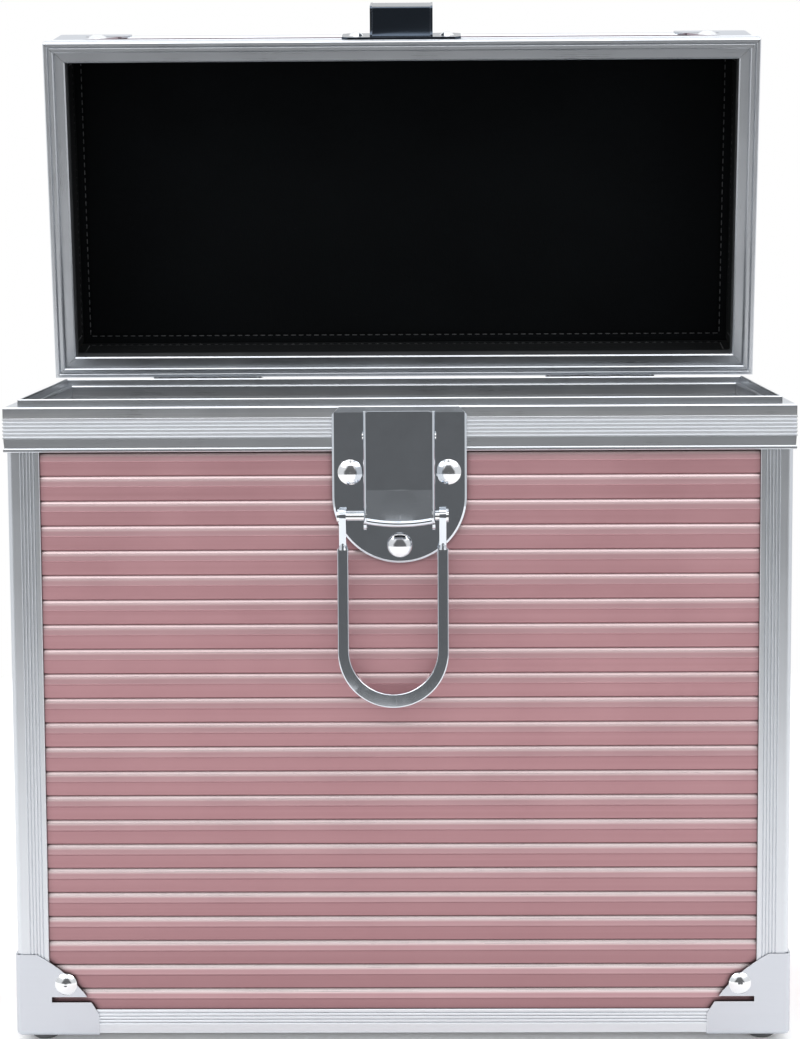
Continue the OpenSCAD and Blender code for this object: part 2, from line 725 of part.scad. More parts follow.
module lid_corner_rails() color("#b9bfc4") four_corners(zs + 1.6, lid_top);
module lid_edge_rails_long() color("#c9ced3") {
    front() translate([0, 0, lid_top]) mirror([0, 0, 1]) along(long_s) edge_section();
    back() translate([0, 0, lid_top]) mirror([0, 0, 1]) along(long_s) edge_section();
}
module lid_edge_rails_short() color("#c9ced3") {
    left() translate([0, 0, lid_top]) mirror([0, 0, 1]) along(short_s) edge_section();
    right() translate([0, 0, lid_top]) mirror([0, 0, 1]) along(short_s) edge_section();
}
module lid_rim_long() color("#a9aeb4") {
    front() lid_rim_one(case_w);
    back() lid_rim_one(case_w);
}
module lid_rim_short() color("#a9aeb4") {
    left() lid_rim_one(case_d);
    right() lid_rim_one(case_d);
}

lid_line_hi = lid_top - inner - lining_t;
module lid_top_lining() color("#0e0e10")
    plate([-hw + inner, -hd + inner, lid_line_hi],
        [hw - inner, hd - inner, lid_top - inner]);
module lid_front_lining() color("#0e0e10")
    front() lining_wall(case_w - 2 * inner, lid_in_lo, lid_line_hi);
module lid_back_lining() color("#0e0e10")
    back() lining_wall(case_w - 2 * inner, lid_in_lo, lid_line_hi);
module lid_side_linings() color("#0e0e10") {
    left() lining_wall(case_d - 2 * lined - 0.02, lid_in_lo, lid_line_hi);
    right() lining_wall(case_d - 2 * lined - 0.02, lid_in_lo, lid_line_hi);
}

// ---------------------------------------------------------------- handle

bracket_x = handle_half + 12.1;
skin_top = lid_top - rib_in;

module handle_brackets() color("#b4b8bc") for (x = [-bracket_x, bracket_x])
    translate([x, 0, skin_top]) difference() {
        union() {
            translate([0, 0, 0]) linear_extrude(1.2) rounded(24, 34, 4);
            translate([-5, -6.3, 0]) cube([10, 12.6, handle_up + rib_in]);
            translate([-5, 0, handle_up + rib_in]) rotate([0, 90, 0])
                cylinder(r = 6.3, h = 10);
        }
        translate([-8, 0, handle_up + rib_in]) rotate([0, 90, 0])
            cylinder(r = 3.06, h = 16);
    }
module handle_bracket_rivets() color("#dfe2e5")
    for (x = [-bracket_x, bracket_x], y = [-11.8, 11.8])
        translate([x, y, skin_top + 1.2]) dome(2.9, 1.5);

// Steel bow of the handle, in its own frame: pivot along X, bow towards +Y
module bow(r = 3, bend = 7) {
    for (s = [0, 1]) mirror([s, 0, 0]) {
        translate([handle_half + bend - 0.01, 0, 0]) rotate([0, 90, 0])
            cylinder(r = r, h = 16.6 - bend);
        translate([handle_half + bend, bend, 0]) rotate([0, 0, 180])
            rotate_extrude(angle = 90) translate([bend, 0]) circle(r);
        translate([handle_half, bend - 0.01, 0]) rotate([-90, 0, 0])
            cylinder(r = r, h = handle_l - 2 * bend + 0.02);
        translate([handle_half - bend, handle_l - bend, 0])
            rotate_extrude(angle = 90) translate([bend, 0]) circle(r);
    }
    translate([-handle_half + bend - 0.01, handle_l, 0]) rotate([0, 90, 0])
        cylinder(r = r, h = 2 * (handle_half - bend + 0.01));
}

module handle_frame() color("#a2a6aa") translate([0, 0, lid_top + handle_up]) bow();
module handle_grip() color("#161618") translate([-grip_half, handle_l, lid_top + handle_up])
    rotate([90, 0, 90]) linear_extrude(2 * grip_half) difference() {
        union() {
            translate([-3.6, 0]) circle(grip_r);
            translate([3.6, 0]) circle(grip_r);
            translate([-3.6, -grip_r]) square([7.2, 2 * grip_r]);
        }
        circle(3);
    }

// ---------------------------------------------------------------- the case

place() front_board();
place() back_board();
place() side_boards();
place() bottom_board();
place() front_skin();
place() back_skin();
place() left_skin();
place() right_skin();
place() corner_rails();
place() bottom_rails_long();
place() bottom_rails_short();
place() body_rim_long();
place() body_rim_short();
place() body_corner_protectors();
place() body_protector_rivets();
place() feet();
place() front_lining();
place() back_lining();
place() side_linings();
place() floor_lining();
place() hinge_body_leaves();
place() hinge_pins();
place() hinge_body_rivets();
place() latch_plate();
place() latch_plate_rivets();
place() latch_lever_pin();
place() latch_lever();
place() bail_axle();
place() latch_bail();
on_lid() lid_top_board();
on_lid() lid_front_board();
on_lid() lid_back_board();
on_lid() lid_side_boards();
on_lid() lid_top_skin();
on_lid() lid_front_skin();
on_lid() lid_back_skin();
on_lid() lid_side_skins();
on_lid() lid_corner_rails();
on_lid() lid_edge_rails_long();
on_lid() lid_edge_rails_short();
on_lid() lid_rim_long();
on_lid() lid_rim_short();
on_lid() lid_corner_protectors();
on_lid() lid_protector_rivets();
on_lid() lid_top_lining();
on_lid() lid_front_lining();
on_lid() lid_back_lining();
on_lid() lid_side_linings();
on_lid() hinge_lid_leaves();
on_lid() hinge_lid_rivets();
on_lid() latch_catch();
on_lid() latch_catch_rivets();
on_lid() handle_brackets();
on_lid() handle_bracket_rivets();
on_lid() handle_frame();
on_lid() handle_grip();
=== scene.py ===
"""Record carrying case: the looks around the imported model.

Everything is in metres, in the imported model's frame. The lid's pieces are
made as if it were shut and then turned to where the model holds it open.
"""
import math

import bpy
import bmesh
from mathutils import Matrix, Vector


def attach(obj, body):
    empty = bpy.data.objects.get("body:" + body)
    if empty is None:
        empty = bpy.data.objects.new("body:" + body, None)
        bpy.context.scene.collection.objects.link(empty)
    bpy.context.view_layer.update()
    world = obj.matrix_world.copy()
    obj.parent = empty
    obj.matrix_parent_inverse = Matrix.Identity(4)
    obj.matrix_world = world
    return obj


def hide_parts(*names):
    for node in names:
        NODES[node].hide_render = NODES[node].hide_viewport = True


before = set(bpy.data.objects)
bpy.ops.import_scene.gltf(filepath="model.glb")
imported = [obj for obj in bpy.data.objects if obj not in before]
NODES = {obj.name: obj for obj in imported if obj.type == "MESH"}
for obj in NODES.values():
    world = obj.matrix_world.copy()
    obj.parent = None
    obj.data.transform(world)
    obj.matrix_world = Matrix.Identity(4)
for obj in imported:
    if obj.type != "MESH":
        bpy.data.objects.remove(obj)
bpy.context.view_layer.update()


# ------------------------------------------------------------------ the frame
MM = 0.001
HW, HD = 172.5, 81.5                     # half width and depth over the rails
YS = -26.0323                            # where the case's middle is in Y
ZS = 286.5                               # the seam
LID_H = 55.0
HINGE = Vector((0.0, 59.7677, 286.5)) * MM
OPEN = math.radians(81.5)
# from the shut lid to the open one
LID = (Matrix.Translation(HINGE) @ Matrix.Rotation(-OPEN, 4, "X")
       @ Matrix.Translation(-HINGE))

# ------------------------------------------------------------------ camera
CAM = Vector((16.39, -1286.65, 366.88)) * MM
PITCH, YAW, ROLL = (math.radians(a) for a in (6.314, -0.791, -0.328))
F_PX = 2700.5

fwd = Vector((math.sin(YAW) * math.cos(PITCH), math.cos(YAW) * math.cos(PITCH),
              -math.sin(PITCH)))
right = Vector((math.cos(YAW), -math.sin(YAW), 0.0))
up = right.cross(fwd)
r2 = math.cos(ROLL) * right + math.sin(ROLL) * up
u2 = -math.sin(ROLL) * right + math.cos(ROLL) * up
camera = bpy.data.objects.new("camera", bpy.data.cameras.new("camera"))
bpy.context.scene.collection.objects.link(camera)
camera.matrix_world = Matrix((
    (r2.x, u2.x, -fwd.x, CAM.x), (r2.y, u2.y, -fwd.y, CAM.y),
    (r2.z, u2.z, -fwd.z, CAM.z), (0, 0, 0, 1)))
camera.data.sensor_fit = "AUTO"
camera.data.sensor_width = 36.0
camera.data.lens = F_PX * 36.0 / 1039.0
camera.data.clip_start = 0.05
camera.data.clip_end = 60.0
bpy.context.scene.camera = camera
bpy.context.scene.view_settings.view_transform = "Standard"


# ------------------------------------------------------------------ shader kit
class Graph:
    """Short names for building a node tree."""

    def __init__(self, tree):
        self.tree = tree
        tree.nodes.clear()

    def add(self, kind, **values):
        node = self.tree.nodes.new("ShaderNode" + kind)
        for key, value in values.items():
            if hasattr(node, key):
                setattr(node, key, value)
            else:
                self.put(node.inputs[key.replace("_", " ")], value)
        return node

    def put(self, socket, value):
        if isinstance(value, bpy.types.NodeSocket):
            self.tree.links.new(value, socket)
        else:
            socket.default_value = value

    def math(self, operation, a, b=0.5, clamp=False):
        node = self.tree.nodes.new("ShaderNodeMath")
        node.operation = operation
        node.use_clamp = clamp
        self.put(node.inputs[0], a)
        self.put(node.inputs[1], b)
        return node.outputs[0]

    def vmath(self, operation, a, b):
        node = self.tree.nodes.new("ShaderNodeVectorMath")
        node.operation = operation
        self.put(node.inputs[0], a)
        self.put(node.inputs[1], b)
        return node.outputs["Value"] if operation == "DOT_PRODUCT" else node.outputs[0]

    def remap(self, value, a0, a1, b0, b1, smooth=False):
        node = self.tree.nodes.new("ShaderNodeMapRange")
        if smooth:
            node.interpolation_type = "SMOOTHSTEP"
        for i, v in enumerate((value, a0, a1, b0, b1)):
            self.put(node.inputs[i], v)
        return node.outputs[0]

    def mix(self, factor, a, b):
        node = self.tree.nodes.new("ShaderNodeMix")
        node.data_type = "RGBA"
        self.put(node.inputs[0], factor)
        self.put(node.inputs[6], a)
        self.put(node.inputs[7], b)
        return node.outputs[2]


def rgb(r, g, b):
    return (r, g, b, 1.0)


def coords(g, lid):
    """The piece's own coordinates, for the lid as if it were shut."""
    c = g.add("TexCoord").outputs["Object"]
    if not lid:
        return c
    turn = g.add("VectorRotate", rotation_type="X_AXIS", Vector=c,
                 Center=tuple(HINGE), Angle=OPEN)
    return turn.outputs[0]


def stretched(g, c, scale, detail=2.0, rough=0.5):
    m = g.add("Mapping", Vector=c, Scale=scale)
    return g.add("TexNoise", Vector=m.outputs[0], Scale=1.0, Detail=detail,
                 Roughness=rough).outputs["Fac"]


def spots(g, c, scale, detail=3.0, rough=0.55):
    return g.add("TexNoise", Vector=c, Scale=scale, Detail=detail,
                 Roughness=rough).outputs["Fac"]


def edges(g, radius):
    """1 at an edge, 0 away from it."""
    bevel = g.add("Bevel", samples=4, Radius=radius)
    true = g.add("NewGeometry").outputs["Normal"]
    dot = g.vmath("DOT_PRODUCT", bevel.outputs[0], true)
    return g.remap(dot, 0.995, 0.86, 0.0, 1.0)


def surface(g, **sockets):
    node = g.add("BsdfPrincipled")
    for key, value in sockets.items():
        g.put(node.inputs[key.replace("_", " ")], value)
    out = g.add("OutputMaterial")
    g.tree.links.new(node.outputs[0], out.inputs["Surface"])
    return node


def fresh(name):
    m = bpy.data.materials.new(name)
    m.use_nodes = True
    return m, Graph(m.node_tree)


RUNS = {"x": (14.0, 3200.0, 3200.0), "y": (3200.0, 14.0, 3200.0),
        "z": (3200.0, 3200.0, 14.0)}


def between(g, value, a, b, soft):
    """1 between a and b, with soft ends."""
    return g.math("MULTIPLY", g.remap(value, a - soft, a + soft, 0.0, 1.0),
                  g.remap(value, b - soft, b + soft, 1.0, 0.0))


def satin(name, colour, rough, run, lid=False, grain=0.000003, worn=0.5, bands=(),
          streak=1.0):
    """Satin metal, its grain running along one axis of the shut case.

    Each band is (low, high, tone, extra roughness) by height: a fluted or
    bevelled strip of an extrusion, painted darker as shade where its tone is below
    1 and lighter as a highlight where its tone is above 1.
    """
    m, g = fresh(name)
    c = coords(g, lid)
    fine = stretched(g, c, RUNS[run])
    coarse = stretched(g, c, tuple(v * 0.22 for v in RUNS[run]), 3.0)
    cloud = spots(g, c, 42.0)
    edge = edges(g, 0.0005)
    tone = g.math("ADD", g.remap(coarse, 0.3, 0.7, -0.03 * streak, 0.03 * streak),
                  g.remap(cloud, 0.3, 0.7, -0.015, 0.015))
    k = g.math("ADD", tone, 0.5, clamp=True)
    dark = tuple(v * 0.74 for v in colour) + (1.0,)
    light = tuple(min(1.0, v * 1.22) for v in colour) + (1.0,)
    base = g.mix(k, dark, light)
    # edges lightened: partly rubbed bright metal, partly a painted highlight along the
    # edges
    base = g.mix(g.math("MULTIPLY", edge, worn), base, rgb(0.93, 0.935, 0.94))
    r = g.math("ADD", rough, g.math("ADD", g.remap(
        fine, 0.25, 0.75, -0.03 * streak, 0.03 * streak),
        g.remap(cloud, 0.3, 0.7, -0.015, 0.02)))
    r = g.math("SUBTRACT", r, g.math("MULTIPLY", edge, 0.06))
    if bands:
        height = g.add("SeparateXYZ", Vector=c).outputs["Z"]
        for low, high, painted_tone, more in bands:
            on = between(g, height, low * MM, high * MM, 0.00012)
            # painted shade where the tone is below 1, painted highlight where it is above
            # 1
            base = g.mix(g.math("MULTIPLY", on, abs(1.0 - painted_tone)), base,
                         rgb(0.0, 0.0, 0.0) if painted_tone < 1 else rgb(0.98, 0.99, 1.0))
            r = g.math("ADD", r, g.math("MULTIPLY", on, more))
    bump = g.add("Bump", Strength=0.14 * streak, Distance=grain, Height=fine)
    surface(g, Base_Color=base, Metallic=1.0, Roughness=r, Normal=bump.outputs[0])
    return m


def rose(name, run, axis, start, lid=False):
    """Rose anodised ribbed sheet, lightly brushed along its ribs.

    Each rib carries painted light and shade: a painted highlight on its ridge,
    brighter low on the case, a lighter top part, a painted dark line just above the
    next ridge, painted shade in recesses, and a lower part painted darker towards
    the bottom of the case; start is where one rib begins on the axis.
    """
    m, g = fresh(name)
    c = coords(g, lid)
    fine = stretched(g, c, RUNS[run], 2.0)
    coarse = stretched(g, c, tuple(v * 0.16 for v in RUNS[run]), 3.0)
    cloud = spots(g, c, 26.0)
    k = g.math("ADD", g.remap(coarse, 0.3, 0.7, -0.22, 0.22),
               g.remap(cloud, 0.3, 0.7, -0.16, 0.16))
    k = g.math("ADD", k, 0.5, clamp=True)
    base = g.mix(k, rgb(0.412, 0.213, 0.234), rgb(0.482, 0.266, 0.287))
    along = g.add("SeparateXYZ", Vector=c).outputs[axis]
    t = g.math("FRACT", g.math("DIVIDE", g.math("SUBTRACT", start * MM, along),
                               11.0 * MM))
    # painted light: the top part of each rib lightened as if lit from above
    upper_band_light = g.math("MULTIPLY", g.remap(t, 0.10, 0.37, 0.55, 1.0),
                   g.remap(t, 0.385, 0.41, 1.0, 0.0))
    base = g.mix(g.math("MULTIPLY", upper_band_light, 0.22), base, rgb(0.78, 0.60, 0.62))
    # painted shade: the lower part of each rib darkened, more towards the bottom of the
    # case
    height = g.add("SeparateXYZ", Vector=c).outputs["Z"]
    low = g.remap(height, 0.02, 0.17, 1.0, 0.0)
    lower_band_shade = g.math("MULTIPLY", g.remap(t, 0.385, 0.42, 0.0, 1.0), low)
    base = g.mix(g.math("MULTIPLY", lower_band_shade, 0.31), base, rgb(0.030, 0.012, 0.013))
    # painted highlight: each rib's ridge lightened towards white, more so low on the case
    crest_highlight = g.math("MULTIPLY", g.remap(t, 0.0, 0.03, 0.35, 1.0),
                   g.remap(t, 0.09, 0.25, 1.0, 0.0, smooth=True))
    crest_highlight_colour = g.mix(low, rgb(0.89, 0.70, 0.71), rgb(1.0, 0.90, 0.90))
    base = g.mix(g.math("MULTIPLY", crest_highlight, 0.87), base, crest_highlight_colour)
    # painted shade: a dark line just above each rib's ridge
    groove_shade = g.remap(t, 0.925, 0.97, 0.0, 0.20)
    base = g.mix(groove_shade, base, rgb(0.030, 0.012, 0.013))
    # painted shade: darkened where ambient occlusion finds nearby surfaces, in the rib
    # hollows, along the rails and in the protectors' slots
    near = g.add("AmbientOcclusion", samples=8, Distance=0.0032).outputs["AO"]
    shade = g.remap(near, 0.52, 0.95, 0.03, 1.0)
    base = g.mix(shade, rgb(0.030, 0.012, 0.013), base)
    r = g.math("ADD", 0.40, g.math("ADD", g.remap(fine, 0.25, 0.75, -0.05, 0.05),
                                   g.remap(cloud, 0.3, 0.7, -0.03, 0.03)))
    r = g.math("SUBTRACT", r, g.math("MULTIPLY", crest_highlight, 0.12))
    bump = g.add("Bump", Strength=0.25, Distance=0.000004, Height=fine)
    surface(g, Base_Color=base, Metallic=0.55, Roughness=r,
            Specular_IOR_Level=0.6, Normal=bump.outputs[0])
    return m


def chrome(name, colour, rough, lid=False, worn=0.5):
    """Bright plate: nearly a mirror, with faint smears and hair scratches."""
    m, g = fresh(name)
    c = coords(g, lid)
    smear = spots(g, c, 60.0, 4.0, 0.6)
    hair = stretched(g, c, (2600.0, 500.0, 90.0), 2.0)
    hair2 = stretched(g, c, (110.0, 600.0, 2400.0), 2.0)
    edge = edges(g, 0.0004)
    base = g.mix(g.remap(smear, 0.35, 0.7, 0.0, 1.0),
                 tuple(colour) + (1.0,), tuple(v * 0.9 for v in colour) + (1.0,))
    # painted highlight: edges lightened towards white as bright edge lines
    base = g.mix(g.math("MULTIPLY", edge, worn), base, rgb(0.96, 0.965, 0.97))
    lines = g.math("MAXIMUM", g.remap(hair, 0.68, 0.8, 0.0, 1.0),
                   g.remap(hair2, 0.7, 0.82, 0.0, 1.0))
    r = g.math("ADD", rough, g.math("ADD", g.remap(smear, 0.3, 0.75, 0.0, 0.06),
                                    g.math("MULTIPLY", lines, 0.09)))
    bump = g.add("Bump", Strength=0.35, Distance=0.00001, Height=g.math(
        "ADD", g.math("MULTIPLY", lines, -0.5), g.math("MULTIPLY", smear, 1.4)))
    surface(g, Base_Color=base, Metallic=1.0, Roughness=r, Normal=bump.outputs[0])
    return m


def felt(name, lid=False):
    """Black felted lining: matt, with a short nap."""
    m, g = fresh(name)
    c = coords(g, lid)
    nap = spots(g, c, 2600.0, 3.0, 0.6)
    lint = spots(g, c, 900.0, 2.0, 0.5)
    cloud = spots(g, c, 18.0, 3.0)
    k = g.math("ADD", g.remap(cloud, 0.3, 0.7, 0.0, 0.6),
               g.remap(nap, 0.35, 0.7, 0.0, 0.4), clamp=True)
    base = g.mix(k, rgb(0.0005, 0.0010, 0.0014), rgb(0.0016, 0.0024, 0.0030))
    base = g.mix(g.remap(lint, 0.74, 0.8, 0.0, 0.5), base, rgb(0.012, 0.0125, 0.0135))
    bump = g.add("Bump", Strength=0.7, Distance=0.00012, Height=g.math(
        "ADD", nap, g.math("MULTIPLY", lint, 0.8)))
    surface(g, Base_Color=base, Roughness=g.remap(nap, 0.3, 0.7, 0.86, 0.98),
            Sheen_Weight=0.012, Sheen_Roughness=0.5, Specular_IOR_Level=0.1,
            Normal=bump.outputs[0])
    return m


def thread(name, lid=False):
    m, g = fresh(name)
    c = coords(g, lid)
    twist = stretched(g, c, (900.0, 900.0, 900.0), 1.0)
    base = g.mix(g.remap(twist, 0.3, 0.7, 0.0, 1.0), rgb(0.022, 0.023, 0.026),
                 rgb(0.06, 0.062, 0.067))
    bump = g.add("Bump", Strength=0.6, Distance=0.0001, Height=twist)
    surface(g, Base_Color=base, Roughness=0.6, Sheen_Weight=0.2,
            Normal=bump.outputs[0])
    return m


def plastic(name, colour, rough, grain, lid=False):
    """Moulded plastic or rubber with a fine grain, rubbed a little at edges."""
    m, g = fresh(name)
    c = coords(g, lid)
    cells = g.add("TexVoronoi", Vector=c, Scale=grain, Randomness=1.0)
    cells.feature = "SMOOTH_F1"
    cloud = spots(g, c, 55.0)
    edge = edges(g, 0.0008)
    light = tuple(v * 1.7 + 0.004 for v in colour) + (1.0,)
    base = g.mix(g.remap(cloud, 0.35, 0.7, 0.0, 0.5), tuple(colour) + (1.0,), light)
    base = g.mix(g.math("MULTIPLY", edge, 0.3), base, light)
    r = g.math("ADD", rough, g.remap(cloud, 0.3, 0.7, -0.06, 0.06))
    r = g.math("SUBTRACT", r, g.math("MULTIPLY", edge, 0.12))
    bump = g.add("Bump", Strength=0.5, Distance=0.00006,
                 Height=cells.outputs["Distance"])
    surface(g, Base_Color=base, Roughness=r, Normal=bump.outputs[0])
    return m


def hardboard(name, dark, light, lid=False):
    m, g = fresh(name)
    c = coords(g, lid)
    fibre = spots(g, c, 700.0, 5.0, 0.7)
    cloud = spots(g, c, 30.0)
    k = g.math("ADD", g.remap(fibre, 0.3, 0.7, 0.0, 0.6),
               g.remap(cloud, 0.3, 0.7, 0.0, 0.4), clamp=True)
    bump = g.add("Bump", Strength=0.5, Distance=0.0001, Height=fibre)
    surface(g, Base_Color=g.mix(k, dark, light), Roughness=g.remap(
        fibre, 0.3, 0.7, 0.7, 0.9), Normal=bump.outputs[0])
    return m


# ------------------------------------------------------------------ materials
AL = (0.655, 0.68, 0.715)
made = {}


def use(kind, *args, lid=False, **more):
    key = (kind.__name__, str(args), str(sorted(more.items())), lid)
    if key not in made:
        made[key] = kind("%s_%02d" % (kind.__name__, len(made)), *args,
                         lid=lid, **more)
    return made[key]


def tidy_group(most):
    """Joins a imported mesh's split edges and shades it smooth up to an angle."""
    group = bpy.data.node_groups.new("tidy_%d" % most, "GeometryNodeTree")
    for way in ("INPUT", "OUTPUT"):
        group.interface.new_socket("Geometry", in_out=way,
                                   socket_type="NodeSocketGeometry")
    add, link = group.nodes.new, group.links.new
    start, end = add("NodeGroupInput"), add("NodeGroupOutput")
    bare = add("GeometryNodeRemoveAttribute")
    bare.inputs["Name"].default_value = "custom_normal"
    merge = add("GeometryNodeMergeByDistance")
    merge.inputs["Distance"].default_value = 2e-6
    faces = add("GeometryNodeSetShadeSmooth")
    faces.domain = "FACE"
    rims = add("GeometryNodeSetShadeSmooth")
    rims.domain = "EDGE"
    angle = add("GeometryNodeInputMeshEdgeAngle")
    small = add("FunctionNodeCompare")
    small.data_type = "FLOAT"
    small.operation = "LESS_THAN"
    small.inputs[1].default_value = math.radians(most)
    link(start.outputs[0], bare.inputs["Geometry"])
    link(bare.outputs[0], merge.inputs["Geometry"])
    link(merge.outputs[0], faces.inputs["Geometry"])
    link(faces.outputs[0], rims.inputs["Geometry"])
    link(angle.outputs["Unsigned Angle"], small.inputs[0])
    link(small.outputs[0], rims.inputs["Shade Smooth"])
    link(rims.outputs[0], end.inputs[0])
    return group


TIDY = {most: tidy_group(most) for most in (13, 29)}


def soften(o, width, segments=3, angle=31, most=29):
    """Breaks the piece's sharp edges, without changing its mesh."""
    o.modifiers.new("tidy", "NODES").node_group = TIDY[most]
    bevel = o.modifiers.new("bevel", "BEVEL")
    bevel.width = width
    bevel.segments = segments
    bevel.limit_method = "ANGLE"
    bevel.angle_limit = math.radians(angle)
    bevel.use_clamp_overlap = True
    bevel.harden_normals = True
    even = o.modifiers.new("even", "WEIGHTED_NORMAL")
    even.keep_sharp = True
    even.weight = 80


def dress(node, material, width=0.0, **more):
    o = NODES[node]
    o.data.materials.clear()
    o.data.materials.append(material)
    if width:
        soften(o, width * MM, **more)


body_al = {r: use(satin, AL, 0.34, r, worn=0.12) for r in "xyz"}
lid_al = {r: use(satin, AL, 0.30, r, lid=True, worn=0.12) for r in "xyz"}
plate_al = (0.56, 0.585, 0.63)
# painted light and shade by height on the rims: the grooved band and the down-facing bevel
# painted darker, the smooth strips above them painted lighter; on the lid's rim the
# grooved band and bevel painted darker
RIM_PAINTED_BANDS = ((ZS - 13.8, ZS - 5.2, 0.77, 0.23), (ZS - 18.0, ZS - 13.9, 0.66, 0.0),
          (ZS - 2.7, ZS - 1.5, 1.16, 0.0), (ZS - 4.0, ZS - 2.7, 1.34, 0.0),
          (ZS - 5.2, ZS - 4.0, 1.56, 0.0))
LID_RIM_PAINTED_BANDS = ((ZS + 5.2, ZS + 13.5, 0.86, 0.08), (ZS + 13.6, ZS + 16.7, 0.52, 0.0))

dress("corner_rails", body_al["z"])
dress("bottom_rails_long", body_al["x"])
dress("bottom_rails_short", body_al["y"])
dress("body_rim_long", use(satin, AL, 0.30, "x", bands=RIM_PAINTED_BANDS, worn=0.12))
dress("body_rim_short", use(satin, AL, 0.30, "y", bands=RIM_PAINTED_BANDS, worn=0.12))
dress("lid_corner_rails", lid_al["z"])
dress("lid_edge_rails_long", lid_al["x"])
dress("lid_edge_rails_short", lid_al["y"])
dress("lid_rim_long", use(satin, AL, 0.30, "x", lid=True, bands=LID_RIM_PAINTED_BANDS, worn=0.12))
dress("lid_rim_short", use(satin, AL, 0.30, "y", lid=True, bands=LID_RIM_PAINTED_BANDS, worn=0.12))
dress("body_corner_protectors", use(satin, plate_al, 0.30, "x", worn=0.3, streak=0.4), 0.3)
dress("lid_corner_protectors", use(satin, plate_al, 0.30, "x", lid=True, worn=0.3,
                               streak=0.4), 0.3)

RIBS = ZS - 19.7
for n in ("front_skin", "back_skin"):
    dress(n, use(rose, "x", "Z", RIBS))
for n in ("left_skin", "right_skin"):
    dress(n, use(rose, "y", "Z", RIBS))
for n in ("lid_front_skin", "lid_back_skin"):
    dress(n, use(rose, "x", "Z", ZS, lid=True))
dress("lid_side_skins", use(rose, "y", "Z", ZS, lid=True))
dress("lid_top_skin", use(rose, "x", "Y", YS, lid=True))

CHROME = (0.66, 0.70, 0.75)
dress("latch_plate", use(chrome, CHROME, 0.05), 0.25, most=13)
dress("latch_lever", use(chrome, CHROME, 0.05), 0.25, most=13)
dress("latch_bail", use(chrome, CHROME, 0.05), 0.25, most=13, angle=50)
dress("bail_axle", use(chrome, (0.78, 0.79, 0.80), 0.07), 0.2)
dress("latch_lever_pin", use(chrome, (0.78, 0.79, 0.80), 0.07), 0.15)
dress("latch_catch", use(chrome, (0.070, 0.088, 0.115), 0.10, lid=True, worn=0.1), 0.3)
for n in ("body_protector_rivets", "latch_plate_rivets", "hinge_body_rivets"):
    dress(n, use(chrome, (0.80, 0.81, 0.825), 0.08))
for n in ("lid_protector_rivets", "latch_catch_rivets", "hinge_lid_rivets",
          "handle_bracket_rivets"):
    dress(n, use(chrome, (0.80, 0.81, 0.825), 0.08, lid=True))

NICKEL = (0.68, 0.69, 0.70)
dress("hinge_body_leaves", use(satin, NICKEL, 0.24, "x"), 0.15)
dress("hinge_pins", use(satin, NICKEL, 0.24, "x"))
dress("hinge_lid_leaves", use(satin, NICKEL, 0.24, "x", lid=True), 0.15)
dress("handle_brackets", use(satin, NICKEL, 0.22, "x", lid=True), 0.3)
dress("handle_frame", use(chrome, (0.72, 0.73, 0.74), 0.07, lid=True))
dress("feet", use(plastic, (0.085, 0.088, 0.092), 0.62, 2600.0), 0.4)

RAW = (rgb(0.16, 0.095, 0.05), rgb(0.34, 0.22, 0.13))
BLACK = (rgb(0.01, 0.01, 0.011), rgb(0.035, 0.035, 0.037))
for n in ("front_board", "back_board", "side_boards"):
    dress(n, use(hardboard, *RAW))
dress("bottom_board", use(hardboard, *BLACK))
for n in ("lid_top_board", "lid_front_board", "lid_back_board", "lid_side_boards"):
    dress(n, use(hardboard, *RAW, lid=True))
# ------------------------------------------------------------------ new pieces
def wave(u, v, seed):
    """A slow, small unevenness."""
    return (math.sin(0.043 * u + seed) * math.sin(0.051 * v + 1.7 * seed)
            + 0.6 * math.sin(0.11 * u - 0.07 * v + 2.3 * seed)
            + 0.4 * math.sin(0.023 * u + 0.19 * v + 0.9 * seed)) / 2.0


def ticks(size):
    """Grid lines across a panel: close together where its seam runs."""
    near = [0.0, 0.25, 0.6, 1.1, 1.8, 2.8, 3.6, 4.2, 4.7, 5.2, 5.8, 6.6, 8.0, 10.5]
    n = max(2, int(round((size - 21.0) / 6.5)))
    middle = [10.5 + (size - 21.0) * i / n for i in range(1, n)]
    return near + middle + [size - t for t in reversed(near)]


def to_object(name, bm, material, body, smooth=True):
    mesh = bpy.data.meshes.new(name)
    bm.to_mesh(mesh)
    bm.free()
    mesh.materials.append(material)
    for f in mesh.polygons:
        f.use_smooth = smooth
    o = bpy.data.objects.new(name, mesh)
    bpy.context.scene.collection.objects.link(o)
    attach(o, body)
    return o


SEAM = 4.7


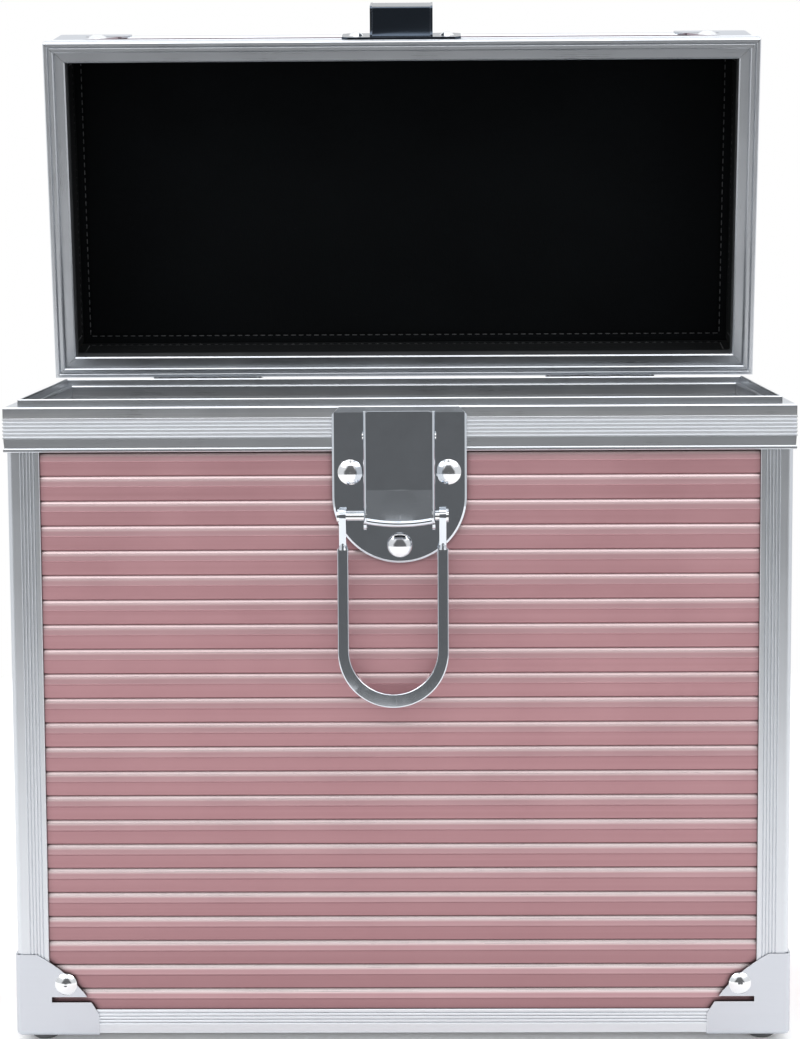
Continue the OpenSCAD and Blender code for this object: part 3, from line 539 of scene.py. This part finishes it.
def lining(name, node, origin, du, dv, w, h, body, lid):
    """A stretched panel of felt on a wall, with its sewn line.

    origin is one corner of the panel's back, in mm of the shut case; du and dv
    run along it, and the face looks along their cross product.
    """
    du, dv = Vector(du), Vector(dv)
    dn = du.cross(dv)
    origin = Vector(origin)
    place = LID if lid else Matrix.Identity(4)
    seed = sum(ord(ch) for ch in name) * 0.37

    def at(u, v, n):
        p = (origin + du * u + dv * v + dn * n) * MM
        return place @ Vector((p.x, p.y + YS * MM, p.z))

    def height(u, v):
        e = min(u, w - u, v, h - v)
        base = 1.22 + 0.12 * wave(u, v, seed) + 0.1 * min(1.0, e / 30.0)
        base -= 0.55 * math.exp(-((e - SEAM) / 0.75) ** 2)
        if e < 1.4:
            base *= math.sqrt(max(0.0, 1 - (1 - e / 1.4) ** 2)) * 0.75 + 0.25
        return min(base, 1.49)

    us, vs = ticks(w), ticks(h)
    bm = bmesh.new()
    front = [[bm.verts.new(at(u, v, height(u, v))) for v in vs] for u in us]
    rear = [[bm.verts.new(at(u, v, 0.02)) for v in (vs[0], vs[-1])]
            for u in (us[0], us[-1])]
    for i in range(len(us) - 1):
        for k in range(len(vs) - 1):
            bm.faces.new((front[i][k], front[i + 1][k], front[i + 1][k + 1],
                          front[i][k + 1]))
    bm.faces.new((rear[0][0], rear[0][1], rear[1][1], rear[1][0]))
    bm.faces.new([rear[0][0], rear[1][0]] + [front[i][0] for i in
                                             range(len(us) - 1, -1, -1)])
    bm.faces.new([rear[1][1], rear[0][1]] + [front[i][-1] for i in range(len(us))])
    bm.faces.new([rear[0][1], rear[0][0]] + [front[0][k] for k in range(len(vs))])
    bm.faces.new([rear[1][0], rear[1][1]] + [front[-1][k] for k in
                                             range(len(vs) - 1, -1, -1)])
    bmesh.ops.recalc_face_normals(bm, faces=bm.faces)
    cloth = to_object(name, bm, use(felt, lid=lid), body)

    # the stitches: short loops of thread, sunk into the seam
    bm = bmesh.new()

    def stitch(u0, v0, u1, v1):
        a, b = at(u0, v0, 0.0), at(u1, v1, 0.0)
        along = (b - a).normalized()
        out = (at(u0, v0, 1.0) - a).normalized()
        side = along.cross(out)
        length = (b - a).length
        rings = []
        for t, rise, r in ((0.0, 0.35, 0.10), (0.12, 0.78, 0.2), (0.5, 0.97, 0.24),
                           (0.88, 0.78, 0.2), (1.0, 0.35, 0.10)):
            c = a + along * (length * t) + out * (rise * MM)
            rings.append([bm.verts.new(c + (side * math.cos(q) + out * math.sin(q))
                                       * (r * MM)) for q in
                          (i * math.pi / 3 for i in range(6))])
        for m in range(4):
            for i in range(6):
                k = (i + 1) % 6
                bm.faces.new((rings[m][i], rings[m][k], rings[m + 1][k],
                              rings[m + 1][i]))
        bm.faces.new(list(reversed(rings[0])))
        bm.faces.new(rings[-1])

    for size, other, turn in ((w, h, False), (h, w, True)):
        n = int((size - 2 * SEAM) / 3.9)
        step = (size - 2 * SEAM) / n
        for i in range(n):
            a = SEAM + step * (i + 0.14)
            b = SEAM + step * (i + 0.86)
            for c in (SEAM, other - SEAM):
                stitch(*((c, a, c, b) if turn else (a, c, b, c)))
    bmesh.ops.recalc_face_normals(bm, faces=bm.faces)
    sewn = to_object(name + "_stitches", bm, use(thread, lid=lid), body)
    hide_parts(node)


X0, Y0 = HW - 6.2, HD - 6.2              # the boards' inner faces
XS, YI = HW - 7.71, HD - 7.71            # the linings' inner faces
FZ, WZ = 9.7, ZS - 1.6
LZ, TZ = ZS + 5.1, ZS + LID_H - 7.7
for name, node, board, z0, z1, body, lid in (
        ("front_felt", "front_lining", "front_board", FZ, WZ, "case", False),
        ("lid_front_felt", "lid_front_lining", "lid_front_board", LZ, TZ, "lid", True)):
    lining(name, node, (X0, -Y0, z0), (-1, 0, 0), (0, 0, 1), 2 * X0, z1 - z0,
           body, lid)
for name, node, board, z0, z1, body, lid in (
        ("back_felt", "back_lining", "back_board", FZ, WZ, "case", False),
        ("lid_back_felt", "lid_back_lining", "lid_back_board", LZ, TZ, "lid", True)):
    lining(name, node, (-X0, Y0, z0), (1, 0, 0), (0, 0, 1), 2 * X0, z1 - z0,
           body, lid)
for tag, node, board, z0, z1, body, lid in (
        ("", "side_linings", "side_boards", FZ, WZ, "case", False),
        ("lid_", "lid_side_linings", "lid_side_boards", LZ, TZ, "lid", True)):
    lining(tag + "left_felt", node, (-X0, -YI, z0), (0, 1, 0), (0, 0, 1),
           2 * YI, z1 - z0, body, lid)
    lining(tag + "right_felt", node, (X0, YI, z0), (0, -1, 0), (0, 0, 1),
           2 * YI, z1 - z0, body, lid)
lining("floor_felt", "floor_lining", (-XS, -YI, FZ), (1, 0, 0),
       (0, 1, 0), 2 * XS, 2 * YI, "case", False)
lining("lid_top_felt", "lid_top_lining",
       (-X0, Y0, ZS + LID_H - 6.2), (1, 0, 0), (0, -1, 0), 2 * X0, 2 * Y0, "lid", True)


def grip():
    """The handle's moulded grip: finger waves inside, a parting line all along."""
    cx, cy, cz, half = 0.0, 31.0, ZS + LID_H + 9.5, 51.0
    bm = bmesh.new()
    rows, around = [], 72
    xs = ([-half, -half + 0.25, -half + 0.9, -half + 2.0, -half + 3.6, -half + 6.0]
          + [-half + 9.0 + (2 * half - 18.0) * i / 60 for i in range(61)])
    xs += [-x for x in reversed(xs[:6])]
    for x in xs:
        e = (half - abs(x)) / 6.0
        k = 0.72 + 0.28 * math.sqrt(max(0.0, 1 - (1 - min(1.0, e)) ** 2))
        wave_in = 0.5 + 0.5 * math.cos(math.pi * x / 11.0)
        fade = max(0.0, min(1.0, (42.0 - abs(x)) / 8.0))
        row = []
        for i in range(around):
            q = 2 * math.pi * i / around
            c, d = math.cos(q), math.sin(q)
            y = 12.0 * math.copysign(abs(c) ** 0.82, c)
            z = 8.4 * math.copysign(abs(d) ** 0.86, d)
            inner = max(0.0, -c) ** 2                 # the side to the pivot
            y += 1.5 * inner * wave_in * fade
            seam = math.exp(-(d / 0.045) ** 2)
            y -= math.copysign(0.14 * (1 - seam), c)
            p = Vector((cx + x, cy + y * k, cz + z * k)) * MM
            row.append(bm.verts.new(LID @ Vector((p.x, p.y + YS * MM, p.z))))
        rows.append(row)
    for a, b in zip(rows, rows[1:]):
        for i in range(around):
            k = (i + 1) % around
            bm.faces.new((a[i], a[k], b[k], b[i]))
    # the ends, with the steel going in
    for row, x in ((rows[0], -half), (rows[-1], half)):
        ring = []
        for i in range(around):
            q = 2 * math.pi * i / around
            p = Vector((cx + x, cy + 3.05 * math.cos(q), cz + 3.05 * math.sin(q))) * MM
            ring.append(bm.verts.new(LID @ Vector((p.x, p.y + YS * MM, p.z))))
        deep = []
        for i in range(around):
            q = 2 * math.pi * i / around
            p = Vector((cx + x * 0.96, cy + 3.05 * math.cos(q),
                        cz + 3.05 * math.sin(q))) * MM
            deep.append(bm.verts.new(LID @ Vector((p.x, p.y + YS * MM, p.z))))
        for i in range(around):
            k = (i + 1) % around
            bm.faces.new((row[i], row[k], ring[k], ring[i]))
            bm.faces.new((ring[i], ring[k], deep[k], deep[i]))
        bm.faces.new(deep)
    bmesh.ops.recalc_face_normals(bm, faces=bm.faces)
    o = to_object("moulded_grip", bm, use(
        plastic, (0.014, 0.014, 0.015), 0.5, 1900.0, lid=True), "handle")
    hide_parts("handle_grip")


grip()

# ------------------------------------------------------------------ the room
world = bpy.data.worlds.new("room")
bpy.context.scene.world = world
world.use_nodes = True
g = Graph(world.node_tree)
way = g.add("TexCoord").outputs["Generated"]
parts = g.add("SeparateXYZ", Vector=way)
z = parts.outputs["Z"]
y = parts.outputs["Y"]
ROOM, DARK, STRIP, FLOOR_R = 0.85, 0.185, 2.2, 0.93
# for glossy rays: a dark room to the front that narrows upwards, between two
# broad lights, with a pale ceiling
x = g.math("ABSOLUTE", parts.outputs["X"])
reach = g.math("MULTIPLY", g.math("SUBTRACT", 1.0, g.math("MAXIMUM", z, 0.0)), 0.64)
wedge = g.remap(g.math("SUBTRACT", reach, x), -0.07, 0.09, 0.0, 1.0, smooth=True)
low = g.remap(z, -0.46, -0.30, 0.0, 1.0, smooth=True)
front = g.remap(y, -0.25, -0.02, 1.0, 0.0, smooth=True)
dim = g.math("MULTIPLY", g.math("MULTIPLY", low, wedge), front)
above = g.math("MULTIPLY", g.remap(z, 0.2, 0.75, 0.0, 1.0, smooth=True), 0.45)
level = g.math("MULTIPLY", g.math("ADD", ROOM, above), g.math(
    "SUBTRACT", 1.0, g.math("MULTIPLY", dim, 1.0 - DARK)))
strip = g.math("MULTIPLY", between(g, z, 0.64, 0.82, 0.035),
               g.remap(y, -0.35, -0.2, 1.0, 0.0, smooth=True))
level = g.math("ADD", level, g.math("MULTIPLY", strip, STRIP))
gloss = g.add("Background", Color=g.add(
    "CombineColor", Red=g.math("MULTIPLY", level, 0.985), Green=level,
    Blue=g.math("MULTIPLY", level, 1.02)).outputs[0], Strength=1.0)
soft = g.add("Background", Color=rgb(1.0, 1.0, 1.0), Strength=1.12)
seen = g.add("Background", Color=rgb(1.0, 1.0, 1.0), Strength=1.0)
path = g.add("LightPath")
two = g.add("MixShader")
g.put(two.inputs[0], path.outputs["Is Glossy Ray"])
g.put(two.inputs[1], soft.outputs[0])
g.put(two.inputs[2], gloss.outputs[0])
pick = g.add("MixShader")
g.put(pick.inputs[0], path.outputs["Is Camera Ray"])
g.put(pick.inputs[1], two.outputs[0])
g.put(pick.inputs[2], seen.outputs[0])
out = g.add("OutputWorld")
g.tree.links.new(pick.outputs[0], out.inputs["Surface"])


def softbox(name, at, to, size, power, colour=(1, 1, 1)):
    light = bpy.data.lights.new(name, "AREA")
    light.shape = "RECTANGLE"
    light.size, light.size_y = size
    light.energy = power
    light.color = colour
    o = bpy.data.objects.new(name, light)
    bpy.context.scene.collection.objects.link(o)
    o.location = at
    o.rotation_euler = (Vector(to) - Vector(at)).to_track_quat("-Z", "Y").to_euler()
    return o


softbox("left", (-1.15, -1.0, 1.45), (0, -0.05, 0.25), (0.9, 0.9), 7)
softbox("right", (1.15, -1.0, 1.35), (0, -0.05, 0.25), (0.8, 0.8), 5)
softbox("top", (0.0, -0.25, 2.1), (0, 0, 0.2), (1.4, 0.8), 5)

# a round pale floor, only as wide as the set
mesh = bpy.data.meshes.new("floor")
bm = bmesh.new()
bmesh.ops.create_circle(bm, cap_ends=True, segments=96, radius=FLOOR_R)
bm.to_mesh(mesh)
bm.free()
floor = bpy.data.objects.new("floor", mesh)
bpy.context.scene.collection.objects.link(floor)
m, g = fresh("paper")
c = g.add("TexCoord").outputs["Object"]
base = g.mix(spots(g, c, 3.0), rgb(0.90, 0.90, 0.905), rgb(0.93, 0.93, 0.93))
surface(g, Base_Color=base, Roughness=0.85, Specular_IOR_Level=0.2,
        Emission_Color=rgb(1.0, 1.0, 1.0), Emission_Strength=0.12)
floor.data.materials.append(m)
